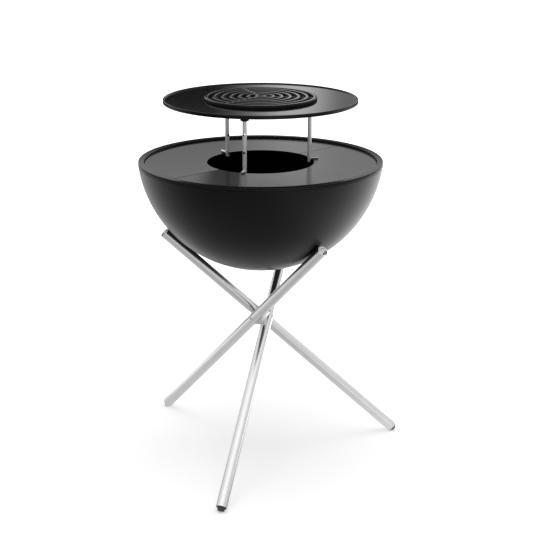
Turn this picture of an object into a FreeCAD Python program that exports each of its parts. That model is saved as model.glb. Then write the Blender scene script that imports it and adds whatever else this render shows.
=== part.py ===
"""Fire bowl grill on a crossed-tube tripod, with a griddle ring and a raised griddle plate.

Lengths are millimetres and angles degrees. The origin is on the bowl's axis at floor level, +Z is up,
and -Y is the front.
"""
import FreeCAD
import Part
import Sketcher
import math
import os

from FreeCAD import Placement, Rotation, Vector

DIMENSIONS = (
    ("leg_tilt", 46.1, "angle of each tripod tube from the vertical"),
    ("waist_azimuth", -17.6, "direction in which the front tube passes the axis"),
    ("waist_radius", 18.6, "tube axis to the tripod's axis where they come closest"),
    ("leg_below_waist", 486.0, "tube length from the waist to its lower end"),
    ("leg_above_waist", 316.0, "tube length from the waist to its upper end"),
    ("tube_radius", 12.7, "outside of the tripod tube"),
    ("tube_wall", 2.5, "wall of the tripod tube"),
    ("tube_end_bevel", 0.8, "bevel on the outer edge of both tube ends"),
    ("foot_end_height", 9.64, "centre of the tube's lower end above the floor"),
    ("fit_gap", 0.05, "radial gap between pieces that are pushed or screwed together"),
    ("screw_clearance", 0.2, "radial gap around a screw in a plain hole"),
    ("tapping_runout", 0.5, "depth of a tapped hole past its screw's tip"),
    ("plug_length", 22.0, "length of the foot plug inside the tube"),
    ("plug_flange_radius", 11.9, "foot plug's flange against the tube's end"),
    ("plug_flange_thickness", 1.2, "thickness of that flange"),
    ("plug_head_length", 8.0, "length of the foot plug outside the tube"),
    ("plug_head_radius", 9.0, "wide end of the foot plug's cone"),
    ("plug_tip_radius", 7.5, "narrow end of the foot plug's cone"),
    ("cap_length", 10.0, "length of the plug in the upper tube end"),
    ("cap_recess", 1.8, "depth of that plug's face inside the tube"),
    ("hub_radius", 25.0, "outside of the hub between the tubes"),
    ("hub_height", 30.0, "height of the hub"),
    ("hub_bevel", 2.0, "bevel on the hub's edges"),
    ("screw_radius", 3.0, "shank of the hub screw"),
    ("screw_head_radius", 5.5, "head of the hub screw"),
    ("screw_head_height", 2.8, "height of the hub screw's head"),
    ("screw_head_crown", 2.0, "fall of the head's edge from its flat top"),
    ("screw_seat", 11.4, "tube axis to the flat seat under the screw head"),
    ("screw_tip_radius", 2.6, "tripod's axis to the tip of each hub screw"),
    ("socket_radius", 2.3, "corner radius of the screws' hexagon sockets"),
    ("socket_depth", 1.8, "depth of the screws' hexagon sockets"),
    ("bowl_radius", 287.8, "outside of the bowl's sphere"),
    ("bowl_wall", 3.0, "sheet thickness of the bowl"),
    ("bowl_rest_gap", 0.3, "gap between the bowl and each tube"),
    ("rim_drop", 28.1, "sphere's centre above the top of the rim"),
    ("rim_radius", 285.2, "outside of the rim ring"),
    ("rim_band", 13.7, "width of the rim's flat top band"),
    ("rim_flange", 1.6, "thickness of the rim's top band at its outer edge"),
    ("rim_round", 0.6, "rounding of the rim's outer top edge"),
    ("rim_inner_round", 0.8, "rounding of the rim's inner top edge"),
    ("rim_wall", 3.5, "thickness of the wall under the rim's inner edge"),
    ("rim_groove", 2.0, "height of the groove under the top band"),
    ("rim_groove_depth", 2.5, "depth of that groove"),
    ("rim_belt", 3.8, "height of the belt under the groove"),
    ("rim_joint", 0.8, "height of the joint between belt and bowl"),
    ("rim_joint_depth", 1.6, "depth of that joint"),
    ("rim_rib", 3.0, "width of the rib that sits on the bowl's edge"),
    ("ledge_radius", 256.0, "inner edge of the ledge under the griddle ring"),
    ("ledge_thickness", 3.0, "thickness of that ledge"),
    ("plancha_recess", 5.3, "griddle ring's top below the rim's top"),
    ("plancha_thickness", 5.0, "thickness of the griddle ring"),
    ("plancha_gap", 0.8, "gap between griddle ring and rim"),
    ("plancha_hole", 125.0, "radius of the hole in the griddle ring"),
    ("plancha_bevel", 0.6, "bevel on the griddle ring's edges"),
    ("seam_azimuth", 42.3, "direction of the seam between the two halves"),
    ("seam_gap", 1.0, "gap between the two halves"),
    ("plate_above_rim", 135.4, "underside of the upper plate above the rim's top"),
    ("plate_radius", 225.0, "outside of the upper plate"),
    ("plate_thickness", 6.0, "thickness of the upper plate"),
    ("plate_opening", 104.0, "radius of the opening in the upper plate"),
    ("plate_lip_height", 2.5, "height of the lip above the plate's surface"),
    ("plate_lip_width", 3.2, "width of the lip"),
    ("plate_edge_round", 1.5, "rounding of the plate's outer edges"),
    ("grate_height", 7.4, "top of the grate above the plate's surface"),
    ("grate_radius", 130.5, "outside of the grate"),
    ("first_bar_radius", 11.0, "middle of the innermost round bar"),
    ("bar_pitch", 19.25, "distance from one round bar to the next"),
    ("bar_width", 7.6, "width of a bar"),
    ("bar_depth", 12.6, "bottom of the bars inside the opening below the plate's surface"),
    ("bar_bevel", 0.9, "bevel on a bar's top edges"),
    ("outer_bar_width", 9.6, "width of the outermost bar"),
    ("outer_bar_bevel", 1.8, "bevel on that bar's top edges"),
    ("spoke_drop", 0.8, "top of the spokes below the bars' tops"),
    ("spigot_width", 3.5, "wall of the rim that locates the grate"),
    ("spigot_depth", 12.0, "bottom of that rim below the plate's surface"),
    ("spigot_gap", 0.5, "gap between that rim and the opening"),
    ("spoke_azimuth", 350.0, "direction of the grate's first spoke"),
    ("stand_circle", 118.0, "radius of the circle of stand legs"),
    ("stand_azimuth", 12.5, "direction of the first stand leg"),
    ("rod_radius", 5.0, "outside of a stand leg"),
    ("rod_below_pin", 10.0, "stand leg's end below its pin"),
    ("rod_bevel", 0.8, "bevel on a stand leg's lower end"),
    ("hole_pitch", 41.5, "distance between the cross holes in a stand leg"),
    ("pin_radius", 3.0, "radius of a height pin"),
    ("pin_reach", 16.0, "pin's outer end beyond the stand leg"),
    ("pin_bevel", 0.5, "bevel on a pin's ends"),
    ("pin_rest_gap", 0.3, "gap between a pin and the griddle ring"),
    ("collar_radius", 10.0, "outside of a leg collar"),
    ("collar_height", 24.0, "height of a leg collar"),
    ("collar_bevel", 2.0, "bevel on a collar's lower edge"),
    ("bolt_radius", 2.5, "shank of a collar screw"),
    ("bolt_head_radius", 5.0, "countersunk head of a collar screw"),
    ("bolt_length", 18.0, "length of a collar screw"),
)

BAR_COUNT = 7
LOCATING_BAR = 5
SPOKE_COUNT = 3
HOLE_COUNT = 3
SOCKET_SIDES = 6
THIRD_TURN = 120.0
HALF_TURN = 180.0
SIDES = ("front", "right", "left")
# Length of tools that cut right through a piece, and how near two edges are to count as the same
THROUGH = 400.0
NEAR = 0.01

doc = FreeCAD.newDocument("fire_bowl_grill")


class Size:
    """A length that knows its number and the spreadsheet expression it comes from."""

    def __init__(self, value, text):
        self.value = value
        self.text = text

    def combine(self, other, sign, value):
        """Return the size that the sign makes of this size and another, or a number."""
        return Size(value, f"({self.text} {sign} {as_size(other).text})")

    def __add__(self, other):
        return self.combine(other, "+", self.value + as_size(other).value)

    def __sub__(self, other):
        return self.combine(other, "-", self.value - as_size(other).value)

    def __mul__(self, other):
        return self.combine(other, "*", self.value * as_size(other).value)


def as_size(number):
    """Return a Size for a plain number, or the Size itself."""
    return number if isinstance(number, Size) else Size(number, repr(float(number)))


def make_sheet():
    """Write the driving dimensions into a spreadsheet and return them as named sizes."""
    sheet = doc.addObject("Spreadsheet::Sheet", "dims")
    sizes = {}
    for row, (name, value, meaning) in enumerate(DIMENSIONS, start=1):
        sheet.set(f"A{row}", name)
        sheet.set(f"B{row}", str(value))
        sheet.set(f"C{row}", meaning)
        sheet.setAlias(f"B{row}", name)
        sizes[name] = Size(value, f"dims.{name}")
    doc.recompute()
    return sizes


dim = make_sheet()
ZERO = Size(0.0, "0")


def bind(feature, prop, size):
    """Set one size of a feature and tie it to the spreadsheet."""
    setattr(feature, prop, size.value)
    feature.setExpression(prop, size.text)


def cylinder(name, radius, height, placement=Placement()):
    """Return a cylinder along its own Z."""
    feature = doc.addObject("Part::Cylinder", name)
    bind(feature, "Radius", radius)
    bind(feature, "Height", height)
    feature.Placement = placement
    return feature


def box(name, length, width, height, corner):
    """Return a box with its lowest corner at a placement."""
    feature = doc.addObject("Part::Box", name)
    bind(feature, "Length", as_size(length))
    bind(feature, "Width", as_size(width))
    bind(feature, "Height", as_size(height))
    feature.Placement = corner
    return feature


def fuse(name, shapes):
    """Return the union of several features."""
    feature = doc.addObject("Part::MultiFuse", name)
    feature.Shapes = shapes
    feature.Refine = True
    return feature


def cut(name, base, tools):
    """Return a feature with the tools taken away from it."""
    feature = doc.addObject("Part::Cut", name)
    feature.Base = base
    feature.Tool = tools[0] if len(tools) == 1 else fuse(f"{name}_tools", tools)
    return feature


def common(name, first, second):
    """Return what two features share."""
    feature = doc.addObject("Part::MultiCommon", name)
    feature.Shapes = [first, second]
    return feature


def group(name, shapes):
    """Return several separate solids as one feature."""
    feature = doc.addObject("Part::Compound", name)
    feature.Links = shapes
    return feature


def pin_point(sketch, line, size, axis_line, kind):
    """Tie one coordinate of a line's start to the origin, by a distance or by the axis itself."""
    if size.text == ZERO.text:
        sketch.addConstraint(Sketcher.Constraint("PointOnObject", line, 1, axis_line))
        return
    index = sketch.addConstraint(Sketcher.Constraint(kind, -1, 1, line, 1, size.value))
    sketch.setExpression(f"Constraints[{index}]", size.text)


def turned(name, outline):
    """Return a body turned about Z from a closed outline of (radius, height) corners."""
    body = doc.addObject("PartDesign::Body", name)
    planes = {plane.Role: plane for plane in body.Origin.OriginFeatures}
    sketch = body.newObject("Sketcher::SketchObject", f"{name}_outline")
    sketch.AttachmentSupport = (planes["XZ_Plane"], [""])
    sketch.MapMode = "FlatFace"
    corners = [Vector(radius.value, height.value, 0) for radius, height in outline]
    count = len(corners)
    for start in range(count):
        sketch.addGeometry(Part.LineSegment(corners[start], corners[(start + 1) % count]), False)
    for start in range(count):
        sketch.addConstraint(Sketcher.Constraint("Coincident", start, 2, (start + 1) % count, 1))
    for start, (radius, height) in enumerate(outline):
        pin_point(sketch, start, radius, -2, "DistanceX")
        pin_point(sketch, start, height, -1, "DistanceY")
    turn = body.newObject("PartDesign::Revolution", f"{name}_turn")
    turn.Profile = sketch
    turn.ReferenceAxis = (sketch, ["V_Axis"])
    turn.Angle = 360.0
    doc.recompute()
    return body


def round_edge(body, radius, height, rounding):
    """Round the circular edges of a turned body at one radius and height."""
    tip = body.Tip
    found = []
    for index, edge in enumerate(tip.Shape.Edges, start=1):
        points = edge.Vertexes
        level = all(abs(point.Z - height.value) < NEAR for point in points)
        reach = all(abs(math.hypot(point.X, point.Y) - radius.value) < NEAR for point in points)
        if level and reach and isinstance(edge.Curve, Part.Circle):
            found.append(f"Edge{index}")
    fillet = body.newObject("PartDesign::Fillet", f"{body.Name}_round")
    fillet.Base = (tip, found)
    bind(fillet, "Radius", rounding)
    doc.recompute()


def polar(radius, azimuth, height):
    """Return the point at a radius, a direction and a height."""
    angle = math.radians(azimuth)
    return Vector(radius * math.cos(angle), radius * math.sin(angle), height)


def upright(radius, azimuth, height):
    """Return a placement whose X points away from the axis in the given direction."""
    return Placement(polar(radius, azimuth, height), Rotation(azimuth, 0, 0))


# Heights that follow from the driving dimensions
TILT = math.radians(dim["leg_tilt"].value)
WAIST_HEIGHT = dim["foot_end_height"].value + dim["leg_below_waist"].value * math.cos(TILT)
REST_DISTANCE = dim["bowl_radius"].value + dim["tube_radius"].value + dim["bowl_rest_gap"].value
REST_REACH = math.sqrt(REST_DISTANCE ** 2 - dim["waist_radius"].value ** 2)
BOWL_CENTRE = WAIST_HEIGHT + REST_REACH / math.sin(TILT)
RIM_TOP = BOWL_CENTRE - dim["rim_drop"].value
RIM_HEIGHT = dim["plancha_recess"] + dim["plancha_thickness"] + dim["ledge_thickness"]
LEDGE_BOTTOM = RIM_TOP - RIM_HEIGHT.value
RIM_SIDE = dim["rim_flange"] + dim["rim_groove"] + dim["rim_belt"] + dim["rim_joint"]
BOWL_EDGE = RIM_TOP - RIM_SIDE.value
PLANCHA_TOP = RIM_TOP - dim["plancha_recess"].value
PLATE_BOTTOM = RIM_TOP + dim["plate_above_rim"].value
PLATE_TOP = PLATE_BOTTOM + dim["plate_thickness"].value
PIN_HEIGHT = PLANCHA_TOP + dim["pin_rest_gap"].value + dim["pin_radius"].value
ALONG_X = Rotation(Vector(0, 0, 1), Vector(1, 0, 0))


def leg_placement(number):
    """Return a tripod tube's placement: origin at its waist, Z up the tube, X away from the axis."""
    azimuth = dim["waist_azimuth"].value + number * THIRD_TURN
    base = polar(dim["waist_radius"].value, azimuth, WAIST_HEIGHT)
    return Placement(base, Rotation(azimuth, 0, -dim["leg_tilt"].value))


def along(placement, offset, rotation=Rotation()):
    """Return a placement moved by an offset in its own directions, then turned."""
    return placement.multiply(Placement(offset, rotation))


def tripod_leg(number, side):
    """A stainless tube with beveled ends and a cross hole with a flat seat for the hub screw."""
    bore = dim["tube_radius"] - dim["tube_wall"]
    length = dim["leg_below_waist"] + dim["leg_above_waist"]
    bevel = dim["tube_end_bevel"]
    tube = turned(f"tube_{side}", [
        (bore, ZERO),
        (dim["tube_radius"] - bevel, ZERO),
        (dim["tube_radius"], bevel),
        (dim["tube_radius"], length - bevel),
        (dim["tube_radius"] - bevel, length),
        (bore, length),
    ])
    tube.Placement = Placement(Vector(0, 0, -dim["leg_below_waist"].value), Rotation())
    reach = dim["tube_radius"] * 2
    start = Placement(Vector(-dim["tube_radius"].value, 0, 0), ALONG_X)
    hole = cylinder(f"tube_{side}_hole", dim["screw_radius"] + dim["screw_clearance"], reach, start)
    seat_start = Placement(Vector(dim["screw_seat"].value, 0, 0), ALONG_X)
    seat_radius = dim["screw_head_radius"] + dim["screw_clearance"]
    seat = cylinder(f"tube_{side}_seat", seat_radius, reach, seat_start)
    leg = cut(f"tripod_leg_{side}", tube, [hole, seat])
    leg.Placement = leg_placement(number)
    return leg


def foot_plug(number, side):
    """A flanged plug in the tube's lower end whose cone is cut flat where it stands on the floor."""
    bore = dim["tube_radius"] - dim["tube_wall"] - dim["fit_gap"]
    head = dim["plug_head_length"]
    plug = turned(f"plug_{side}", [
        (ZERO, ZERO),
        (dim["plug_tip_radius"], ZERO),
        (dim["plug_head_radius"], head - dim["plug_flange_thickness"]),
        (dim["plug_flange_radius"], head - dim["plug_flange_thickness"]),
        (dim["plug_flange_radius"], head),
        (bore, head),
        (bore, head + dim["plug_length"]),
        (ZERO, head + dim["plug_length"]),
    ])
    tip = Vector(0, 0, -dim["leg_below_waist"].value - head.value)
    plug.Placement = along(leg_placement(number), tip)
    below = Placement(Vector(-THROUGH, -THROUGH, -THROUGH), Rotation())
    floor = box(f"plug_{side}_floor", THROUGH * 2, THROUGH * 2, THROUGH, below)
    return cut(f"foot_plug_{side}", plug, [floor])


def leg_cap(number, side):
    """A metal plug set back a little in the tube's upper end."""
    bore = dim["tube_radius"] - dim["tube_wall"] - dim["fit_gap"]
    start = dim["leg_above_waist"] - dim["cap_recess"] - dim["cap_length"]
    place = along(leg_placement(number), Vector(0, 0, start.value))
    return cylinder(f"leg_cap_{side}", bore, dim["cap_length"], place)


def tripod_hub():
    """The block where the tubes cross, with a saddle and a tapped hole for each of them."""
    bevel = dim["hub_bevel"]
    block = turned("hub_block", [
        (ZERO, ZERO),
        (dim["hub_radius"] - bevel, ZERO),
        (dim["hub_radius"], bevel),
        (dim["hub_radius"], dim["hub_height"] - bevel),
        (dim["hub_radius"] - bevel, dim["hub_height"]),
        (ZERO, dim["hub_height"]),
    ])
    block.Placement = Placement(Vector(0, 0, WAIST_HEIGHT - dim["hub_height"].value / 2), Rotation())
    inner = dim["waist_radius"] - dim["screw_tip_radius"] + dim["tapping_runout"]
    tools = []
    for number, side in enumerate(SIDES):
        leg = leg_placement(number)
        low = along(leg, Vector(0, 0, -THROUGH / 2))
        tools.append(cylinder(f"saddle_{side}", dim["tube_radius"] + dim["fit_gap"], as_size(THROUGH), low))
        start = along(leg, Vector(-inner.value, 0, 0), ALONG_X)
        tools.append(cylinder(f"tapping_{side}", dim["screw_radius"] + dim["fit_gap"], inner, start))
    return cut("tripod_hub", block, tools)


def hub_screws():
    """Three button-head screws with hexagon sockets, one through each tube into the hub."""
    shank = dim["screw_seat"] + dim["waist_radius"] - dim["screw_tip_radius"]
    top = shank + dim["screw_head_height"]
    screws = []
    for number, side in enumerate(SIDES):
        blank = turned(f"hub_screw_blank_{side}", [
            (ZERO, ZERO),
            (dim["screw_radius"], ZERO),
            (dim["screw_radius"], shank),
            (dim["screw_head_radius"], shank),
            (dim["screw_head_radius"], top - dim["screw_head_crown"]),
            (dim["screw_head_radius"] - dim["screw_head_crown"], top),
            (ZERO, top),
        ])
        screw = hexagon_socket(f"hub_screw_{side}", blank, top)
        tip = Vector(dim["screw_tip_radius"].value - dim["waist_radius"].value, 0, 0)
        screw.Placement = along(leg_placement(number), tip, ALONG_X)
        screws.append(screw)
    return group("hub_screws", screws)


def hexagon_socket(name, blank, top):
    """Return a screw blank with a hexagon socket in its top."""
    socket = doc.addObject("Part::Prism", f"{name}_socket")
    socket.Polygon = SOCKET_SIDES
    bind(socket, "Circumradius", dim["socket_radius"])
    bind(socket, "Height", dim["socket_depth"] * 2)
    socket.Placement = Placement(Vector(0, 0, (top - dim["socket_depth"]).value), Rotation())
    return cut(name, blank, [socket])


def bowl_shell():
    """The part-spherical bowl, cut level under the rim ring."""
    centre = Placement(Vector(0, 0, BOWL_CENTRE), Rotation())
    outer = doc.addObject("Part::Sphere", "bowl_outside")
    bind(outer, "Radius", dim["bowl_radius"])
    outer.Placement = centre
    inner = doc.addObject("Part::Sphere", "bowl_inside")
    bind(inner, "Radius", dim["bowl_radius"] - dim["bowl_wall"])
    inner.Placement = centre
    depth = dim["bowl_radius"] * 2
    below = Placement(Vector(0, 0, BOWL_EDGE - depth.value), Rotation())
    reach = cylinder("bowl_reach", dim["bowl_radius"] * 2, depth, below)
    return common("bowl_shell", cut("bowl_hollow", outer, [inner]), reach)


def rim_ring():
    """The rim: a top band, a belt, a rib on the bowl's edge and a ledge under the griddle ring."""
    inner = dim["rim_radius"] - dim["rim_band"]
    wall = inner + dim["rim_wall"]
    groove = dim["rim_radius"] - dim["rim_groove_depth"]
    flange = RIM_HEIGHT - dim["rim_flange"]
    belt_top = flange - dim["rim_groove"]
    belt_bottom = belt_top - dim["rim_belt"]
    rib_bottom = RIM_HEIGHT - RIM_SIDE
    rib_outer = dim["rim_radius"] - dim["rim_joint_depth"]
    rib_inner = rib_outer - dim["rim_rib"]
    ring = turned("rim_ring", [
        (dim["ledge_radius"], ZERO),
        (wall, ZERO),
        (wall, belt_bottom),
        (rib_inner, belt_bottom),
        (rib_inner, rib_bottom),
        (rib_outer, rib_bottom),
        (rib_outer, belt_bottom),
        (dim["rim_radius"], belt_bottom),
        (dim["rim_radius"], belt_top),
        (groove, belt_top),
        (groove, flange),
        (dim["rim_radius"], flange),
        (dim["rim_radius"], RIM_HEIGHT),
        (inner, RIM_HEIGHT),
        (inner, dim["ledge_thickness"]),
        (dim["ledge_radius"], dim["ledge_thickness"]),
    ])
    round_edge(ring, dim["rim_radius"], RIM_HEIGHT, dim["rim_round"])
    round_edge(ring, inner, RIM_HEIGHT, dim["rim_inner_round"])
    ring.Placement = Placement(Vector(0, 0, LEDGE_BOTTOM), Rotation())
    return ring


def plancha_half(side, turn):
    """One half of the griddle ring, on its own side of the seam."""
    outer = dim["rim_radius"] - dim["rim_band"] - dim["plancha_gap"]
    bevel = dim["plancha_bevel"]
    thickness = dim["plancha_thickness"]
    ring = turned(f"ring_{side}", [
        (dim["plancha_hole"], ZERO),
        (outer, ZERO),
        (outer, thickness - bevel),
        (outer - bevel, thickness),
        (dim["plancha_hole"] + bevel, thickness),
        (dim["plancha_hole"], thickness - bevel),
    ])
    ring.Placement = Placement(Vector(0, 0, PLANCHA_TOP - thickness.value), Rotation())
    azimuth = dim["seam_azimuth"].value + turn
    seam = Placement(Vector(0, 0, PLANCHA_TOP - THROUGH / 2), Rotation(azimuth, 0, 0))
    corner = along(seam, Vector(-THROUGH, dim["seam_gap"].value / 2, 0))
    return common(f"plancha_{side}", ring, box(f"half_{side}", THROUGH * 2, THROUGH, THROUGH, corner))


def upper_plate():
    """The raised plate: a low lip, rounded edges, a central opening and countersunk holes."""
    lip_top = dim["plate_thickness"] + dim["plate_lip_height"]
    lip_inner = dim["plate_radius"] - dim["plate_lip_width"]
    plate = turned("plate_blank", [
        (dim["plate_opening"], ZERO),
        (dim["plate_radius"], ZERO),
        (dim["plate_radius"], lip_top),
        (lip_inner, lip_top),
        (lip_inner, dim["plate_thickness"]),
        (dim["plate_opening"], dim["plate_thickness"]),
    ])
    round_edge(plate, dim["plate_radius"], ZERO, dim["plate_edge_round"])
    round_edge(plate, dim["plate_radius"], lip_top, dim["plate_edge_round"])
    plate.Placement = Placement(Vector(0, 0, PLATE_BOTTOM), Rotation())
    tools = []
    for number, side in enumerate(SIDES):
        hole = countersunk_hole(f"plate_hole_{side}")
        hole.Placement = bolt_placement(number)
        tools.append(hole)
    return cut("upper_plate", plate, tools)


def stand_placement(number, height):
    """Return a placement on a stand leg's axis, X away from the middle."""
    azimuth = dim["stand_azimuth"].value + (number - 1) * THIRD_TURN
    return upright(dim["stand_circle"].value, azimuth, height)


def bolt_placement(number):
    """Return the place of a collar screw's tip."""
    return stand_placement(number, PLATE_TOP - dim["bolt_length"].value)


def countersunk_hole(name):
    """The space of a collar screw, grown by its clearance all round and above its head."""
    gap = dim["screw_clearance"]
    cone = dim["bolt_head_radius"] - dim["bolt_radius"]
    shank = dim["bolt_radius"] + gap
    head = dim["bolt_head_radius"] + gap
    return turned(name, [
        (ZERO, ZERO),
        (shank, ZERO),
        (shank, dim["bolt_length"] - cone),
        (head, dim["bolt_length"]),
        (head, dim["bolt_length"] + gap),
        (ZERO, dim["bolt_length"] + gap),
    ])


def collar_screws():
    """Three countersunk screws through the plate into the stand legs."""
    cone = dim["bolt_head_radius"] - dim["bolt_radius"]
    screws = []
    for number, side in enumerate(SIDES):
        blank = turned(f"collar_screw_blank_{side}", [
            (ZERO, ZERO),
            (dim["bolt_radius"], ZERO),
            (dim["bolt_radius"], dim["bolt_length"] - cone),
            (dim["bolt_head_radius"], dim["bolt_length"]),
            (ZERO, dim["bolt_length"]),
        ])
        screw = hexagon_socket(f"collar_screw_{side}", blank, dim["bolt_length"])
        screw.Placement = bolt_placement(number)
        screws.append(screw)
    return group("collar_screws", screws)


def leg_collar(number, side):
    """A black socket under the plate that holds the top of a stand leg."""
    bevel = dim["collar_bevel"]
    bore = dim["rod_radius"] + dim["fit_gap"]
    collar = turned(f"leg_collar_{side}", [
        (bore, ZERO),
        (dim["collar_radius"] - bevel, ZERO),
        (dim["collar_radius"], bevel),
        (dim["collar_radius"], dim["collar_height"]),
        (bore, dim["collar_height"]),
    ])
    collar.Placement = stand_placement(number, PLATE_BOTTOM - dim["collar_height"].value)
    return collar


def stand_leg(number, side):
    """A stainless rod with cross holes at equal steps and a tapped hole in its top."""
    foot = PIN_HEIGHT - dim["rod_below_pin"].value
    pin_rise = dim["pin_rest_gap"] + dim["pin_radius"] - dim["rod_below_pin"]
    length = dim["plate_above_rim"] + dim["plancha_recess"] - pin_rise
    bevel = dim["rod_bevel"]
    rod = turned(f"rod_{side}", [
        (ZERO, ZERO),
        (dim["rod_radius"] - bevel, ZERO),
        (dim["rod_radius"], bevel),
        (dim["rod_radius"], length),
        (ZERO, length),
    ])
    rod.Placement = stand_placement(number, foot)
    tools = []
    reach = dim["rod_radius"] * 4
    for level in range(HOLE_COUNT):
        height = PIN_HEIGHT + level * dim["hole_pitch"].value
        start = along(stand_placement(number, height), Vector(-reach.value / 2, 0, 0), ALONG_X)
        tools.append(cylinder(f"rod_{side}_hole_{level}", dim["pin_radius"] + dim["fit_gap"], reach, start))
    tapping = along(bolt_placement(number), Vector(0, 0, -dim["tapping_runout"].value))
    tools.append(cylinder(f"rod_{side}_tapping", dim["bolt_radius"] + dim["fit_gap"], reach, tapping))
    return cut(f"stand_leg_{side}", rod, tools)


def height_pin(number, side):
    """A plain pin through a stand leg, flush inside and standing out over the griddle ring."""
    bevel = dim["pin_bevel"]
    length = dim["rod_radius"] * 2 + dim["pin_reach"]
    pin = turned(f"height_pin_{side}", [
        (ZERO, ZERO),
        (dim["pin_radius"] - bevel, ZERO),
        (dim["pin_radius"], bevel),
        (dim["pin_radius"], length - bevel),
        (dim["pin_radius"] - bevel, length),
        (ZERO, length),
    ])
    inner = Vector(-dim["rod_radius"].value, 0, 0)
    pin.Placement = along(stand_placement(number, PIN_HEIGHT), inner, ALONG_X)
    return pin


def round_bar(number):
    """One round bar of the grate, deep inside the opening and lying on the plate around it."""
    middle = dim["first_bar_radius"] + dim["bar_pitch"] * number
    seat = dim["bar_depth"]
    outermost = number == BAR_COUNT - 1
    inner = middle - dim["bar_width"] * 0.5
    outer = middle + dim["bar_width"] * 0.5
    bevel = dim["bar_bevel"]
    if outermost:
        outer = dim["grate_radius"]
        inner = outer - dim["outer_bar_width"]
        bevel = dim["outer_bar_bevel"]
    bottom = ZERO if number < LOCATING_BAR else seat
    top = seat + dim["grate_height"]
    upper = [
        (outer, bottom),
        (outer, top - bevel),
        (outer - bevel, top),
        (inner + bevel, top),
        (inner, top - bevel),
    ]
    lower = [(inner, bottom)]
    if number == LOCATING_BAR:
        lower = locating_rim(inner, seat)
    return turned(f"round_bar_{number}", upper + lower)


def locating_rim(inner, seat):
    """Corners of the rim under a bar that drops into the plate's opening, from the bar's inner side out."""
    rim_outer = dim["plate_opening"] - dim["spigot_gap"]
    rim_inner = rim_outer - dim["spigot_width"]
    shelf = seat + dim["spigot_width"]
    foot = seat - dim["spigot_depth"]
    return [(inner, shelf), (rim_inner, shelf), (rim_inner, foot), (rim_outer, foot), (rim_outer, seat)]


def grate_insert():
    """The cast grate: round bars joined by three spokes, with its outer bars on the plate."""
    bars = [round_bar(number) for number in range(BAR_COUNT)]
    length = dim["grate_radius"] - dim["first_bar_radius"] - dim["bar_width"] * 0.5
    height = dim["grate_height"] - dim["spoke_drop"]
    for number in range(SPOKE_COUNT):
        turn = upright(0, dim["spoke_azimuth"].value + number * THIRD_TURN, dim["bar_depth"].value)
        start = Vector(dim["first_bar_radius"].value, -dim["bar_width"].value / 2, 0)
        bars.append(box(f"spoke_{number}", length, dim["bar_width"], height, along(turn, start)))
    grate = fuse("grate_insert", bars)
    grate.Placement = Placement(Vector(0, 0, PLATE_TOP - dim["bar_depth"].value), Rotation())
    return grate


def build():
    """Make every sub-part and return them in order."""
    parts = [tripod_hub(), hub_screws(), bowl_shell(), rim_ring()]
    parts += [plancha_half("rear", 0.0), plancha_half("front", HALF_TURN)]
    parts += [upper_plate(), collar_screws(), grate_insert()]
    for number, side in enumerate(SIDES):
        parts += [tripod_leg(number, side), foot_plug(number, side), leg_cap(number, side)]
        parts += [leg_collar(number, side), stand_leg(number, side), height_pin(number, side)]
    return parts


def export(parts):
    """Check the document and every sub-part, then write one file for each."""
    failed = [item.Name for item in doc.Objects if {"Invalid", "Error"} & set(item.State)]
    if failed:
        raise RuntimeError(f"failed features: {failed}")
    for part in parts:
        if part.Shape.isNull() or not part.Shape.isValid() or not part.Shape.Solids:
            raise RuntimeError(f"bad shape: {part.Label}")
    os.makedirs("parts", exist_ok=True)
    for part in parts:
        part.Shape.exportStep(f"parts/{part.Label}.step")
        print(part.Label, len(part.Shape.Solids), round(part.Shape.Volume))


sub_parts = build()
doc.recompute()
export(sub_parts)
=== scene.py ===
"""Looks of a plancha fire bowl: tripod, bowl, griddle ring, upper griddle plate and grate.

Lengths are in metres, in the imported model's frame: X to the right, Y to the back, Z up from the floor.
"""
import logging
import math
from dataclasses import dataclass, replace
from enum import Enum
from typing import Optional, Sequence, Union

import bmesh
import bpy
import numpy as np
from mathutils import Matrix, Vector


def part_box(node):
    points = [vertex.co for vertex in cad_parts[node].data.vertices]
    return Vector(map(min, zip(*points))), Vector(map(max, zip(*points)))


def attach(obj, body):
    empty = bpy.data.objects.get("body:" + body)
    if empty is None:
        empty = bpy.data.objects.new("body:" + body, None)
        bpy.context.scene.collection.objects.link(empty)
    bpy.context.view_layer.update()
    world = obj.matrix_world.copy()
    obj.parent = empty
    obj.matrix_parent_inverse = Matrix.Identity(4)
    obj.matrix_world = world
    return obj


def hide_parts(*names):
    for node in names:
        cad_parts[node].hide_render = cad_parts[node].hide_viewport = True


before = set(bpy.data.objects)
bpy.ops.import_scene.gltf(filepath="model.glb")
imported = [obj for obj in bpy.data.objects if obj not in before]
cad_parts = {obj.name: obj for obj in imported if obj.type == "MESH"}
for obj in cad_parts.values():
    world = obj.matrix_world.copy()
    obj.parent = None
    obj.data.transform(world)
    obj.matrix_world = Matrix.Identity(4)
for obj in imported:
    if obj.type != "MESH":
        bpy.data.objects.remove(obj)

log = logging.getLogger("plancha_fire_bowl")

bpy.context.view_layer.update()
FULL_TURN = 2 * math.pi
HALF_TURN = math.pi
QUARTER_TURN = 0.5 * math.pi
THIRD_TURN = FULL_TURN / 3
SIDES = ("front", "right", "left")
MERGE_DISTANCE = 1e-6
SHARP_ANGLE = math.radians(40)

# Guard points beside a rounding, as shares of the free side and of the rounding
GUARD_SHARE = 0.25
GUARD_REACH = 0.5

# Screw heads: steps round them, rows in the dome, and the share of the side that is straight
HEAD_COLUMNS = 72
DOME_ROWS = 9
STRAIGHT_SHARE = 0.9

# Noise: its mean, the stretch that most of it covers, and the colour sockets of the Mix node
NOISE_MEAN = 0.5
NOISE_RANGE = (0.3, 0.7)
MIX_FIRST, MIX_SECOND, MIX_RESULT = 6, 7, 2

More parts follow.
